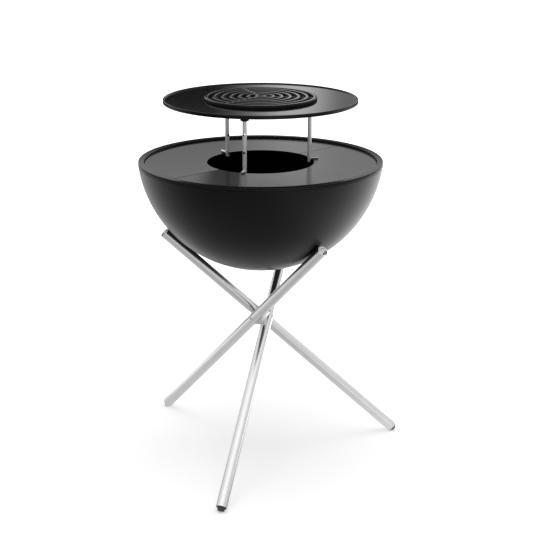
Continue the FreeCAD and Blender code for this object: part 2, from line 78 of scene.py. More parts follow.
Pair = tuple[float, float]
Triple = tuple[float, float, float]
Colour = tuple[float, float, float, float]
Material = bpy.types.Material
Socket = bpy.types.NodeSocket


def grey(level: float, warmth: float = 0.0) -> Colour:
    """Return a grey of one linear level, warmer where warmth is above zero."""
    return (level * (1 + warmth), level, level * (1 - warmth), 1.0)


# Surfaces


@dataclass
class Surface:
    """Grid of points in rows and columns, with the lengths along both ways for a UV map.

    A looped surface joins its last row to its first, and a round one its last column to its first. Closed
    ends fill the outline of the first and the last column.
    """

    points: np.ndarray
    along: np.ndarray
    around: np.ndarray
    looped: bool
    round: bool
    closed_ends: bool = False

    def cells(self) -> tuple[np.ndarray, np.ndarray]:
        """Number the cells of the grid.

        Returns:
            The row and the column number of every cell.
        """
        rows, columns = self.points.shape[:2]
        lines = np.arange(rows - 1 + self.looped)
        files = np.arange(columns - 1 + self.round)
        row, column = np.meshgrid(lines, files, indexing="ij")
        return row.ravel(), column.ravel()

    def faces(self, first: int) -> list[list[int]]:
        """Return the corner numbers of every face, anticlockwise as seen from outside.

        Args:
            first: number of this surface's first point in the mesh.

        Returns:
            One list of corner numbers for each cell, and for each closed end.
        """
        rows, columns = self.points.shape[:2]
        row, column = self.cells()
        low, high = row * columns, (row + 1) % rows * columns
        near, far = column, (column + 1) % columns
        quads = first + np.stack([low + near, low + far, high + far, high + near], axis=-1)
        faces = quads.tolist()
        if self.closed_ends:
            edge = first + np.arange(rows) * columns
            faces += [edge.tolist(), (edge[::-1] + columns - 1).tolist()]
        return faces

    def lengths(self) -> np.ndarray:
        """Lay out the UV map.

        Returns:
            The UV of every face corner, in the order of the faces.
        """
        row, column = self.cells()
        low, high = self.along[row], self.along[row + 1]
        near, far = self.around[column], self.around[column + 1]
        u = np.stack([low, low, high, high], axis=-1)
        v = np.stack([near, far, far, near], axis=-1)
        corners = np.stack([u.ravel(), v.ravel()], axis=-1)
        end_corners = 2 * len(self.points) if self.closed_ends else 0
        return np.vstack([corners, np.zeros((end_corners, 2))])

    def placed(self, axes: np.ndarray, origin: np.ndarray) -> "Surface":
        """Return the surface turned to the axes, which are the rows of a matrix, and moved to the origin."""
        return replace(self, points=self.points @ axes + origin)


def run_lengths(outline: np.ndarray, looped: bool) -> np.ndarray:
    """Measure along an outline.

    Args:
        outline: its points, one row each.
        looped: whether the last point joins the first.

    Returns:
        The length at each point, and at the first again where the outline is looped.
    """
    path = np.vstack([outline, outline[:1]]) if looped else outline
    steps = np.linalg.norm(np.diff(path, axis=0), axis=1)
    return np.concatenate([[0.0], np.cumsum(steps)])


def rounded(corners: Sequence[Triple], looped: bool = True, steps: int = 5) -> np.ndarray:
    """Return an outline in radius and height whose corners are rounded.

    Formula: with the directions a and b from a corner to its neighbours and the rounding q, the corner
    becomes the arc about the point q / sin(half angle) along their bisector, from q / tan(half angle) along a
    to the same distance along b. A guard point stands beyond each end of the arc, so that flat sides shade
    flat.

    Args:
        corners: radius, height and rounding of each corner, anticlockwise round the material.
        looped: whether the last corner joins the first.
        steps: number of steps in each arc.

    Returns:
        The outline's points, one row each.
    """
    spots = np.array([corner[:2] for corner in corners])
    runs = []
    for number, (_, _, rounding) in enumerate(corners):
        spot = spots[number]
        at_end = not looped and number in (0, len(corners) - 1)
        if at_end or rounding == 0:
            runs.append(spot[None])
            continue
        sides = np.stack([spots[number - 1], spots[(number + 1) % len(spots)]]) - spot
        reach = np.linalg.norm(sides, axis=1, keepdims=True)
        sides = sides / reach
        half = 0.5 * math.acos(float(np.clip(sides[0] @ sides[1], -1, 1)))
        start = rounding / math.tan(half)
        bend = HALF_TURN - 2 * half
        bisector = sides.sum(axis=0) / np.linalg.norm(sides.sum(axis=0))
        centre = spot + bisector * rounding / math.sin(half)
        first, last = spot + sides * start - centre
        turn = np.linspace(0, 1, steps + 1)[:, None]
        arc = centre + (np.sin((1 - turn) * bend) * first + np.sin(turn * bend) * last) / math.sin(bend)
        guard = np.clip(GUARD_SHARE * (reach - 2 * start), 0, GUARD_REACH * rounding)
        guards = spot + sides * (start + guard)
        runs.append(np.vstack([guards[:1], arc, guards[1:]]))
    return np.vstack(runs)


def four_sided(inner: float, outer: float, low: float, high: float, edges: Sequence[float],
               steps: int = 5) -> np.ndarray:
    """Return the outline of a ring or a bar with four sides and rounded edges.

    Args:
        inner: radius or distance across at which it starts.
        outer: radius or distance across at which it ends.
        low: height of its underside.
        high: height of its top.
        edges: rounding of the lower inner edge, and of each next one anticlockwise.
        steps: number of steps in each rounding.

    Returns:
        The outline's points, one row each.
    """
    spots = ((inner, low), (outer, low), (outer, high), (inner, high))
    return rounded([(*spot, edge) for spot, edge in zip(spots, edges)], steps=steps)


def turned(outline: np.ndarray, columns: int, looped: bool = True) -> Surface:
    """Return an outline turned about Z: x = r cos t, y = r sin t, z = h, for t over a full turn.

    Args:
        outline: radius and height of each point, anticlockwise round the material.
        columns: number of steps in the turn.
        looped: whether the outline closes on itself; otherwise both its ends lie on the axis.

    Returns:
        The surface of revolution.
    """
    angle = np.linspace(0, FULL_TURN, columns, endpoint=False)
    radius, height = outline.T
    points = np.stack([np.outer(radius, np.cos(angle)), np.outer(radius, np.sin(angle)),
                       np.outer(height, np.ones(columns))], axis=-1)
    around = np.linspace(0, FULL_TURN * radius.max(), columns + 1)
    return Surface(points, run_lengths(outline, looped), around, looped, True)


def half_ring(outline: np.ndarray, azimuth: float, gap: float, columns: int = 144) -> Surface:
    """Return an outline carried round half a turn, with flat ends that lie beside the seam line.

    Formula: at radius r the sweep runs from the angle asin(gap / 2r) to the half turn less that angle, so
    that each end keeps half the gap from the line through the axis.

    Args:
        outline: radius and height of each point, anticlockwise round the material.
        azimuth: direction of the seam line, at which the sweep starts.
        gap: width of the seam.
        columns: number of points along the sweep.

    Returns:
        The half ring with closed ends.
    """
    radius, height = outline.T
    edge = np.arcsin(0.5 * gap / radius)[:, None]
    angle = azimuth + edge + (HALF_TURN - 2 * edge) * np.linspace(0, 1, columns)
    points = np.stack([radius[:, None] * np.cos(angle), radius[:, None] * np.sin(angle),
                       np.broadcast_to(height[:, None], angle.shape)], axis=-1)
    around = np.linspace(0, HALF_TURN * radius.max(), columns)
    return Surface(points, run_lengths(outline, True), around, True, False, closed_ends=True)


def bar(section: np.ndarray, start: float, end: float, azimuth: float, stations: int = 3) -> Surface:
    """Return a section carried along a radial line.

    Formula: the point is path + across + up, for a path from start to end.

    Args:
        section: distance across and height of each point, anticlockwise.
        start: radius at which the bar starts.
        end: radius at which it ends.
        azimuth: direction of the bar.
        stations: number of points along the line.

    Returns:
        The bar with closed ends.
    """
    path = np.linspace(start, end, stations)
    across, up = section.T
    grid = np.ones((len(section), len(path)))
    points = np.stack([grid * path, grid * -across[:, None], grid * up[:, None]], axis=-1)
    straight = Surface(points, run_lengths(section, True), path - start, True, False, closed_ends=True)
    return straight.placed(upright_axes(azimuth), np.zeros(3))


def upright_axes(azimuth: float) -> np.ndarray:
    """Return axes with X along an azimuth, Y a quarter turn on and Z up."""
    c, s = math.cos(azimuth), math.sin(azimuth)
    return np.array([[c, s, 0], [-s, c, 0], [0, 0, 1]])


def radial_axes(azimuth: float) -> np.ndarray:
    """Return axes with Z pointing out along an azimuth and X up."""
    c, s = math.cos(azimuth), math.sin(azimuth)
    return np.array([[0, 0, 1], [-s, c, 0], [c, s, 0]])


def socket_head(radius: float, side: float, crown: float, socket: float, depth: float) -> Surface:
    """Return a domed screw head with a hexagon socket, standing on the plane z = 0.

    Formula: with the socket's edge at e(t) = socket cos 30 / cos(t's distance from the middle of its flat),
    the dome runs from the head's radius in to e(t) at the height side + crown (1 - (r / radius) squared).

    Args:
        radius: radius of the head.
        side: height of its straight side.
        crown: height of the dome above that side.
        socket: radius of the socket's corners.
        depth: depth of the socket below the top of the dome.

    Returns:
        The head, closed underneath. Its socket lies beyond two radii along the outline.
    """
    angle = np.linspace(0, FULL_TURN, HEAD_COLUMNS, endpoint=False)
    sixth = FULL_TURN / 6
    edge = socket * math.cos(sixth / 2) / np.cos(angle % sixth - sixth / 2)
    inward = np.linspace(0, 1, DOME_ROWS)[:, None]
    dome = radius + (edge - radius) * inward
    dome_height = side + crown * (1 - (dome / radius) ** 2)
    flat = np.ones_like(angle)
    floor = (side + crown - depth) * flat
    reach = np.vstack([0 * flat, radius * flat, radius * flat, dome, edge, 0 * flat])
    height = np.vstack([0 * flat, 0 * flat, STRAIGHT_SHARE * side * flat, dome_height, floor, floor])
    points = np.stack([reach * np.cos(angle), reach * np.sin(angle), height], axis=-1)
    outside = np.linspace(0, 2 * radius, len(reach) - 2)
    along = np.concatenate([outside, 2 * radius + depth * np.array([1, 2])])
    return Surface(points, along, np.linspace(0, FULL_TURN * radius, len(angle) + 1), False, True)


def make_piece(name: str, surfaces: Sequence[Surface], material: Material) -> bpy.types.Object:
    """Return a new object made of surfaces, with its poles merged and its sharp edges marked.

    Args:
        name: name of the piece.
        surfaces: the closed surfaces that it is made of.
        material: its finish.

    Returns:
        The object, at the origin.
    """
    points, faces = np.zeros((0, 3)), []
    for surface in surfaces:
        faces += surface.faces(len(points))
        points = np.vstack([points, surface.points.reshape(-1, 3)])
    mesh = bpy.data.meshes.new(name)
    mesh.from_pydata(points.tolist(), [], faces)
    lengths = np.vstack([surface.lengths() for surface in surfaces])
    mesh.uv_layers.new(name="lengths").data.foreach_set("uv", lengths.ravel())
    shell = bmesh.new()
    shell.from_mesh(mesh)
    bmesh.ops.remove_doubles(shell, verts=shell.verts, dist=MERGE_DISTANCE)
    shell.to_mesh(mesh)
    shell.free()
    mesh.polygons.foreach_set("use_smooth", np.ones(len(mesh.polygons), dtype=bool))
    mesh.set_sharp_from_angle(angle=SHARP_ANGLE)
    mesh.materials.append(material)
    piece = bpy.data.objects.new(name, mesh)
    bpy.context.scene.collection.objects.link(piece)
    return piece


def settle(piece: bpy.types.Object, body: str, slot: str, *nodes: str) -> None:
    """Put a new piece in the place of the nodes that it is built over.

    Args:
        piece: the new piece.
        body: body that it rides on.
        slot: slot of its finish; not used.
        nodes: nodes that it replaces.
    """
    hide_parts(*nodes)
    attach(piece, body)
    log.info("%s rides on %s for %s", piece.name, body, ", ".join(nodes))


def dress_node(node: str, material: Material) -> None:
    """Give a carried-over node its finish.

    Args:
        node: name of the node.
        material: the finish.
    """
    piece = bpy.data.objects[node]
    piece.data.materials.clear()
    piece.data.materials.append(material)
    log.info("%s keeps its own shape", node)


# Shader expressions


class Signal:
    """One number of a shader, on which the usual operators add Math nodes."""

    def __init__(self, web: "Web", socket: Socket) -> None:
        """Keep the socket and the node tree that it belongs to."""
        self.web = web
        self.socket = socket

    def __add__(self, other: "Number") -> "Signal":
        """Return self + other."""
        return self.web.maths("ADD", self, other)

    def __sub__(self, other: "Number") -> "Signal":
        """Return self - other."""
        return self.web.maths("SUBTRACT", self, other)

    def __rsub__(self, other: "Number") -> "Signal":
        """Return other - self."""
        return self.web.maths("SUBTRACT", other, self)

    def __mul__(self, other: "Number") -> "Signal":
        """Return self * other."""
        return self.web.maths("MULTIPLY", self, other)

    def __abs__(self) -> "Signal":
        """Return self without its sign."""
        return self.web.maths("ABSOLUTE", self)

    __radd__ = __add__
    __rmul__ = __mul__

    def root(self) -> "Signal":
        """Return the square root."""
        return self.web.maths("SQRT", self)

    def larger(self, other: "Number") -> "Signal":
        """Return the larger of two numbers."""
        return self.web.maths("MAXIMUM", self, other)

    def ease(self, low: float, high: float) -> "Signal":
        """Rise smoothly between two values.

        Args:
            low: value up to which the result is 0.
            high: value from which it is 1.

        Returns:
            The rise.
        """
        sockets = {"Value": self, "From Min": low, "From Max": high}
        rise = self.web.node("ShaderNodeMapRange", sockets, interpolation_type="SMOOTHSTEP")
        return Signal(self.web, rise.outputs[0])


Number = Union[Signal, float]
Value = Union[Signal, Socket, float, tuple]


class Web:
    """Node tree of a material or of the world, filled one node at a time."""

    def __init__(self, tree: bpy.types.NodeTree) -> None:
        """Start with an empty tree."""
        self.tree = tree
        tree.nodes.clear()

    def node(self, kind: str, sockets: Optional[dict[Union[str, int], Value]] = None,
             **settings: str) -> bpy.types.Node:
        """Add a node.

        Args:
            kind: type of the node.
            sockets: value or link of each of its inputs, by name or number.
            settings: the node's own settings, which are set first.

        Returns:
            The new node.
        """
        new = self.tree.nodes.new(kind)
        for key, setting in settings.items():
            setattr(new, key, setting)
        for key, value in (sockets or {}).items():
            source = value.socket if isinstance(value, Signal) else value
            if isinstance(source, Socket):
                self.tree.links.new(source, new.inputs[key])
            else:
                new.inputs[key].default_value = source
        return new

    def maths(self, operation: str, *values: Number) -> Signal:
        """Return the result of a Math node."""
        result = self.node("ShaderNodeMath", dict(enumerate(values)), operation=operation)
        return Signal(self, result.outputs[0])

    def place(self, source: str = "Object") -> Socket:
        """Return the Object, UV or Generated coordinates."""
        return self.node("ShaderNodeTexCoord").outputs[source]

    def stretched(self, source: str, scale: Triple) -> Socket:
        """Return Object or UV coordinates, stretched by a factor for each axis."""
        sockets = {"Vector": self.place(source), "Scale": scale}
        return self.node("ShaderNodeMapping", sockets, vector_type="POINT").outputs[0]

    def noise(self, place: Socket, scale: float = 1.0, detail: float = 2.0, roughness: float = 0.5) -> Signal:
        """Return a soft random number for each place, near a half on average."""
        sockets = {"Vector": place, "Scale": scale, "Detail": detail, "Roughness": roughness}
        return Signal(self, self.node("ShaderNodeTexNoise", sockets).outputs[0])

    def blend(self, share: Number, first: Union[Colour, Socket], second: Union[Colour, Socket]) -> Socket:
        """Return a colour between two, the second where the share is 1."""
        sockets = {0: share, MIX_FIRST: first, MIX_SECOND: second}
        return self.node("ShaderNodeMix", sockets, data_type="RGBA").outputs[MIX_RESULT]

    def parts(self, place: Socket) -> list[Signal]:
        """Return the three parts of a vector."""
        split = self.node("ShaderNodeSeparateXYZ", {0: place})
        return [Signal(self, output) for output in split.outputs]

    def bump(self, height: Signal, strength: float, distance: float,
             normal: Optional[Socket] = None) -> Socket:
        """Tilt a normal by a height.

        Args:
            height: height over the surface.
            strength: share of the tilt.
            distance: length that a height of 1 stands for.
            normal: normal to tilt, or none for the surface's own.

        Returns:
            The tilted normal.
        """
        sockets = {"Strength": strength, "Distance": distance, "Height": height}
        if normal is not None:
            sockets["Normal"] = normal
        return self.node("ShaderNodeBump", sockets).outputs[0]


def new_material(name: str) -> tuple[Material, Web]:
    """Add a material.

    Args:
        name: name of the material.

    Returns:
        The new material and its empty node tree.
    """
    material = bpy.data.materials.new(name)
    material.use_nodes = True
    return material, Web(material.node_tree)


def surface_shader(web: Web, sockets: dict[str, Value], dull: Optional[Signal] = None,
                   dull_level: float = 0.012) -> None:
    """Add the surface shader and the output.

    Args:
        web: node tree to add them to.
        sockets: inputs of the surface shader.
        dull: share of a dark matt layer, painted shade over the surface, or none.
        dull_level: grey of that layer.
    """
    shader = web.node("ShaderNodeBsdfPrincipled", sockets)
    if dull is not None:
        layer = web.node("ShaderNodeBsdfDiffuse", {"Color": grey(dull_level)})
        shader = web.node("ShaderNodeMixShader", {0: dull, 1: shader.outputs[0], 2: layer.outputs[0]})
    web.node("ShaderNodeOutputMaterial", {"Surface": shader.outputs[0]})


# Finishes


class Grain(Enum):
    """Direction of the fine marks in a metal finish."""

    LENGTHWISE = "along the piece, by its own lengths"
    UPRIGHT = "along the height"
    EVEN = "in no direction"


@dataclass(frozen=True)
class BlackCoat:
    """Baked black coat on sheet steel: fine orange peel and a slightly uneven gloss.

    Inside the shade ball, a sphere about a point on the axis, the coat is duller and carries painted shade
    that makes it blacker. A fall above zero lets the surface drop outwards from the axis by that slope.
    """

    name: str
    level: float = 0.003
    roughness: float = 0.32
    roughness_spread: float = 0.05
    refraction: float = 1.29
    cloud_scale: float = 9.0
    cloud_levels: Pair = (0.8, 1.25)
    cloud_warmth: Pair = (-0.04, -0.03)
    peel_scale: float = 900.0
    peel_depth: float = 0.00002
    peel_strength: float = 0.25
    speck_scale: float = 2600.0
    inside_shade_radius: float = 0.0
    inside_shade_height: float = 0.0
    inside_shade_edge: float = 0.001
    inside_shade_level: float = 0.4
    soot_roughness: float = 0.95
    fall: float = 0.0

    def material(self) -> Material:
        """Make the finish.

        Returns:
            The coat\'s material.
        """
        material, web = new_material(self.name)
        place = web.place()
        cloud = web.noise(place, self.cloud_scale, detail=4.0)
        peel = web.noise(place, self.peel_scale)
        speck = web.noise(place, self.speck_scale, detail=1.0)
        x, y, z = web.parts(place)
        out = x * x + y * y
        up = z - self.inside_shade_height
        # Painted shade: inside the ball the coat is darker, and duller.
        dull_zone = 1 - (out + up * up).root().ease(self.inside_shade_radius - self.inside_shade_edge, self.inside_shade_radius)
        gloss = self.roughness + (cloud - NOISE_MEAN + (speck - NOISE_MEAN)) * self.roughness_spread
        dark, pale = (grey(share * self.level, warmth)
                      for share, warmth in zip(self.cloud_levels, self.cloud_warmth))
        clean = web.blend(cloud.ease(*NOISE_RANGE), dark, pale)
        slope = web.bump(out.root(), 1.0, -self.fall) if self.fall else None
        surface_shader(web, {
            "Base Color": web.blend(dull_zone, clean, grey(self.inside_shade_level * self.level)),
            "Roughness": gloss + dull_zone * (self.soot_roughness - gloss),
            "IOR": self.refraction,
            "Normal": web.bump(peel, self.peel_strength, self.peel_depth, slope),
        })
        return material


@dataclass(frozen=True)
class GriddleSteel:
    """Dark rolled steel of a cooking plate: seasoned patches, fine rolling marks and a few scratches.

    A band of painted shade is dark and matt. It fades in to the right over one stretch of X and ends over
    another.
    """

    name: str
    level: float = 0.022
    metal: float = 0.94
    roughness: float = 0.18
    painted_shade_band: Optional[tuple[Pair, Pair]] = None
    painted_shade_share: float = 0.75
    patch_scale: float = 14.0
    patch_levels: Pair = (0.94, 1.07)
    patch_spread: float = 0.5
    rolling: Triple = (35.0, 900.0, 200.0)
    mark_strength: float = 0.012
    mark_depth: float = 0.00004
    mark_spread: float = 0.6
    speck_scale: float = 700.0
    speck_share: float = 0.6
    scratching: Triple = (14.0, 1100.0, 14.0)
    scratch_range: Pair = (0.71, 0.76)
    scratch_share: float = 0.25
    scratch_level: float = 2.2
    scratch_polish: float = 0.2

    def material(self) -> Material:
        """Make the finish.

        Returns:
            The steel\'s material.
        """
        material, web = new_material(self.name)
        place = web.place()
        patch = web.noise(place, self.patch_scale, detail=5.0, roughness=0.6)
        marks = web.noise(web.stretched("Object", self.rolling), detail=3.0, roughness=0.6)
        scratch = web.noise(web.stretched("Object", self.scratching), detail=1.0).ease(*self.scratch_range)
        speck = web.noise(place, self.speck_scale)
        dull = None
        # Painted shade: a dark matt layer mixed over a band of the plate.
        if self.painted_shade_band:
            x = web.parts(place)[0]
            start, end = self.painted_shade_band
            dull = self.painted_shade_share * x.ease(*start) * (1 - x.ease(*end))
        dark, pale = (share * self.level for share in self.patch_levels)
        tone = web.blend(patch.ease(*NOISE_RANGE), grey(dark, warmth=0.02), grey(pale, warmth=-0.01))
        shine = grey(self.scratch_level * self.level)
        uneven = (patch - NOISE_MEAN) * self.patch_spread + (marks - NOISE_MEAN) * self.mark_spread
        surface_shader(web, {
            "Base Color": web.blend(scratch * self.scratch_share, tone, shine),
            "Metallic": self.metal,
            "Roughness": self.roughness * (1 + uneven - scratch * self.scratch_polish),
            "Normal": web.bump(marks + speck * self.speck_share, self.mark_strength, self.mark_depth),
        }, dull)
        return material


@dataclass(frozen=True)
class CastIron:
    """Seasoned cast iron: a fine sandy skin, burnished on the crown and sooty below it."""

    name: str
    crown: float
    level: float = 0.016
    tones: Pair = (0.7, 1.3)
    tone_range: Pair = (0.35, 0.65)
    metal: float = 0.9
    roughness: float = 0.11
    roughness_spread: float = 0.06
    burnish_depth: float = 0.0008
    soot_depth: float = 0.0022
    soot_roughness: float = 0.7
    sand_scale: float = 1100.0
    sand_strength: float = 0.06
    sand_depth: float = 0.00004
    patch_scale: float = 30.0

    def material(self) -> Material:
        """Make the finish.

        Returns:
            The iron\'s material.
        """
        material, web = new_material(self.name)
        place = web.place()
        sand = web.noise(place, self.sand_scale, detail=3.0, roughness=0.6)
        patch = web.noise(place, self.patch_scale, detail=4.0)
        height = web.parts(place)[2]
        dull_zone = 1 - height.ease(self.crown - self.soot_depth, self.crown - self.burnish_depth)
        gloss = self.roughness + (sand - NOISE_MEAN + (patch - NOISE_MEAN)) * self.roughness_spread
        tone = (0.5 * (sand + patch)).ease(*self.tone_range)
        dark, pale = (grey(share * self.level) for share in self.tones)
        surface_shader(web, {
            "Base Color": web.blend(tone, dark, pale),
            "Metallic": self.metal,
            "Roughness": gloss + dull_zone * (self.soot_roughness - gloss),
            "Normal": web.bump(sand, self.sand_strength, self.sand_depth),
        })
        return material


@dataclass(frozen=True)
class BrightSteel:
    """Stainless steel with fine grinding marks along one direction.

    Within the core radius of an upright axis the steel is duller and carries painted shade, as inside a
    drilled hole. Where a socket start is given, it is so beyond that length of the piece's outline instead.
    """

    name: str
    grain: Grain
    level: float = 0.82
    roughness: float = 0.22
    streak: float = 1600.0
    streak_length: float = 12.0
    mark_strength: float = 0.05
    mark_depth: float = 0.00002
    mark_spread: float = 0.10
    cloud_scale: float = 25.0
    cloud_levels: Pair = (0.98, 1.02)
    cloud_warmth: float = 0.004
    cloud_spread: float = 0.02
    core_radius: float = 0.0
    core_edge: float = 0.0004
    core_place: Pair = (0.0, 0.0)
    hole_shade_level: float = 0.05
    core_roughness: float = 0.3
    socket_start: float = math.inf
    socket_edge: float = 0.0002

    def core(self, web: Web, place: Socket) -> Signal:
        """Return 1 where a drilled hole or a socket gets painted shade, and 0 elsewhere.

        Args:
            web: node tree to add to.
            place: the piece's Object coordinates.

        Returns:
            The share of painted shade.
        """
        if self.socket_start < math.inf:
            along = web.parts(web.place("UV"))[0]
            return along.ease(self.socket_start, self.socket_start + self.socket_edge)
        x, y, _ = web.parts(place)
        aside, back = x - self.core_place[0], y - self.core_place[1]
        out = (aside * aside + back * back).root()
        return 1 - out.ease(self.core_radius - self.core_edge, self.core_radius)

    def material(self) -> Material:
        """Make the finish.

        Returns:
            The steel\'s material.
        """
        material, web = new_material(self.name)
        marks_place = {
            Grain.LENGTHWISE: ("UV", (self.streak_length, self.streak, self.streak_length)),
            Grain.UPRIGHT: ("Object", (self.streak, self.streak, self.streak_length)),
            Grain.EVEN: ("Object", (self.streak, self.streak, self.streak)),
        }[self.grain]
        marks = web.noise(web.stretched(*marks_place), detail=3.0, roughness=0.6)
        place = web.place()
        cloud = web.noise(place, self.cloud_scale, detail=3.0)
        core = self.core(web, place)
        dark, pale = (share * self.level for share in self.cloud_levels)
        bright = web.blend(cloud.ease(*NOISE_RANGE), grey(dark, self.cloud_warmth), grey(pale))
        uneven = (marks - NOISE_MEAN) * self.mark_spread + (cloud - NOISE_MEAN) * self.cloud_spread
        surface_shader(web, {
            # Painted shade: the steel is much darker inside drilled holes and sockets.
            "Base Color": web.blend(core, bright, grey(self.hole_shade_level * self.level)),
            "Metallic": 1.0,
            "Roughness": self.roughness + uneven + core * self.core_roughness,
            "Normal": web.bump(marks, self.mark_strength, self.mark_depth),
        })
        return material


@dataclass(frozen=True)
class FootRubber:
    """Grey moulded rubber with a fine matt grain, painted shade towards the floor, and scuffs in places."""

    name: str
    level: float = 0.075
    floor_shade_level: float = 0.55
    low_end: float = 0.02
    roughness: float = 0.6
    roughness_spread: float = 0.15
    grain_scale: float = 1500.0
    grain_strength: float = 0.25
    grain_depth: float = 0.00005
    scuff_scale: float = 220.0
    scuff_range: Pair = (0.5, 0.75)
    scuff_share: float = 0.3
    scuff_level: float = 1.6

    def material(self) -> Material:
        """Make the finish.

        Returns:
            The rubber\'s material.
        """
        material, web = new_material(self.name)
        place = web.place()
        grain = web.noise(place, self.grain_scale)
        scuff = web.noise(place, self.scuff_scale, detail=4.0, roughness=0.6).ease(*self.scuff_range)
        height = web.parts(place)[2]
        # Painted shade: the rubber grows darker near the floor.
        tone = web.blend(height.ease(0.0, self.low_end), grey(self.floor_shade_level * self.level), grey(self.level))
        surface_shader(web, {
            "Base Color": web.blend(scuff * self.scuff_share, tone, grey(self.scuff_level * self.level)),
            "Roughness": self.roughness + (grain - NOISE_MEAN) * self.roughness_spread,
            "Normal": web.bump(grain, self.grain_strength, self.grain_depth),
        })
        return material


# Sub-assemblies


@dataclass
class Tripod:
    """Three crossed tubes bolted to a hub, with capped upper ends and rubber feet."""

    columns: int = 64
    tube_radius: float = 0.0127
    tube_bore: float = 0.0102
    tube_edge: float = 0.0007
    reach_down: float = 0.486
    reach_up: float = 0.316
    tilt: float = math.radians(46.1)
    waist_radius: float = 0.0186
    waist_azimuth: float = math.radians(-17.6)
    plug_radius: float = 0.01015
    plug_edge: float = 0.0005
    cap_length: float = 0.010
    cap_recess: float = 0.0018
    cap_rim: float = 0.0009
    cap_edge: float = 0.0004
    cap_depth: float = 0.007
    cap_rounding: float = 0.0012
    foot_flange: float = 0.0119
    flange_thickness: float = 0.0012
    flange_edges: Pair = (0.0004, 0.0003)
    foot_shoulder: float = 0.009
    foot_tip: float = 0.0075
    tip_rounding: float = 0.001
    foot_reach: float = 0.008
    foot_inside: float = 0.022
    foot_rows: int = 6
    seat_depth: float = 0.0114
    head_radius: float = 0.0055
    head_height: float = 0.0028
    head_crown: float = 0.002
    socket_radius: float = 0.0023
    socket_depth: float = 0.0018

    def waist(self) -> float:
        """Return the height at which the tubes cross, the middle of the hub."""
        low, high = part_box("tripod_hub")
        return 0.5 * (low.z + high.z)

    def leg_axes(self, number: int) -> tuple[np.ndarray, np.ndarray]:
        """Place a tube.

        Args:
            number: the tube's number.

        Returns:
            The tube's axes, with Z along it and X away from the hub, and its waist point.
        """
        azimuth = self.waist_azimuth + number * THIRD_TURN
        out = np.array([math.cos(azimuth), math.sin(azimuth), 0])
        side = np.array([-math.sin(azimuth), math.cos(azimuth), 0])
        axis = side * math.sin(self.tilt) + np.array([0, 0, math.cos(self.tilt)])
        waist_point = out * self.waist_radius + np.array([0, 0, self.waist()])
        return np.stack([out, np.cross(axis, out), axis]), waist_point

    def tube(self) -> Surface:
        """Turn a tube along Z.

        Returns:
            The tube, with both ends eased.
        """
        edges = [self.tube_edge] * 4
        outline = four_sided(self.tube_bore, self.tube_radius, -self.reach_down, self.reach_up, edges)
        return turned(outline, self.columns)

    def cap(self) -> Surface:
        """Turn an end cap along Z.

        Returns:
            A cup with a thin rim, set back in the tube's upper end.
        """
        top = self.reach_up - self.cap_recess
        low, floor = top - self.cap_length, top - self.cap_depth
        hollow = self.plug_radius - self.cap_rim
        corners = [(0, low, 0), (self.plug_radius, low, self.plug_edge),
                   (self.plug_radius, top, self.cap_edge), (hollow, top, self.cap_edge),
                   (hollow, floor, self.cap_rounding), (0, floor, 0)]
        return turned(rounded(corners, looped=False), self.columns, looped=False)

    def foot(self, axes: np.ndarray, waist_point: np.ndarray) -> Surface:
        """Return a foot in its place, cut flat by the floor.

        Formula: a point below the floor slides back along the tube's axis by its height over the axis's rise,
        which puts it on the floor inside the cut. The outline has extra rows between its points for that.

        Args:
            axes: the tube's axes.
            waist_point: the tube's waist point.

        Returns:
            The foot with its plug.
        """
        end = -self.reach_down
        tip, ledge, inside = end - self.foot_reach, end - self.flange_thickness, end + self.foot_inside
        low_edge, high_edge = self.flange_edges
        corners = [(0, tip, 0), (self.foot_tip, tip, self.tip_rounding), (self.foot_shoulder, ledge, 0),
                   (self.foot_flange, ledge, low_edge), (self.foot_flange, end, high_edge),
                   (self.plug_radius, end, 0), (self.plug_radius, inside, self.plug_edge), (0, inside, 0)]
        outline = rounded(corners, looped=False)
        steps = np.arange(len(outline))
        fine = np.linspace(0, steps[-1], self.foot_rows * steps[-1] + 1)
        outline = np.stack([np.interp(fine, steps, values) for values in outline.T], axis=-1)
        foot = turned(outline, self.columns, looped=False).placed(axes, waist_point)
        below = np.minimum(foot.points[..., 2:], 0)
        foot.points = foot.points - axes[2] * below / axes[2, 2]
        return foot

    def screw(self, number: int) -> Surface:
        """Set a hub screw.

        Args:
            number: number of its tube.

        Returns:
            A button head on the outer side of the tube.
        """
        azimuth = self.waist_azimuth + number * THIRD_TURN
        head = socket_head(self.head_radius, self.head_height - self.head_crown, self.head_crown,
                           self.socket_radius, self.socket_depth)
        out = self.waist_radius + self.seat_depth
        seat = np.array([out * math.cos(azimuth), out * math.sin(azimuth), self.waist()])
        return head.placed(radial_axes(azimuth), seat)

    def build(self) -> None:
        """Build the tubes, caps, feet and screw heads, and dress the hub."""
        tube_steel = BrightSteel("tube_steel", Grain.LENGTHWISE).material()
        cap_steel = BrightSteel("cap_steel", Grain.EVEN, roughness=0.12, streak=900.0).material()
        rubber = FootRubber("foot_rubber").material()
        for number, side in enumerate(SIDES):
            axes, waist_point = self.leg_axes(number)
            tube = make_piece(f"leg_tube_{side}", [self.tube().placed(axes, waist_point)], tube_steel)
            settle(tube, "tripod", "stainless_tube", f"tripod_leg_{side}")
            cap = make_piece(f"tube_cap_{side}", [self.cap().placed(axes, waist_point)], cap_steel)
            settle(cap, "tripod", "stainless_cap", f"leg_cap_{side}")
            foot = make_piece(f"rubber_foot_{side}", [self.foot(axes, waist_point)], rubber)
            settle(foot, "tripod", "foot_rubber", f"foot_plug_{side}")
        # The screw heads' sockets carry painted shade.
        socket_start = 2 * self.head_radius
        screw_steel = BrightSteel("screw_steel", Grain.EVEN, roughness=0.18, socket_start=socket_start)
        screws = [self.screw(number) for number in range(len(SIDES))]
        heads = make_piece("hub_screw_heads", screws, screw_steel.material())
        settle(heads, "tripod", "stainless_screw", "hub_screws")
        dress_node("tripod_hub", BrightSteel("hub_metal", Grain.UPRIGHT, roughness=0.3).material())


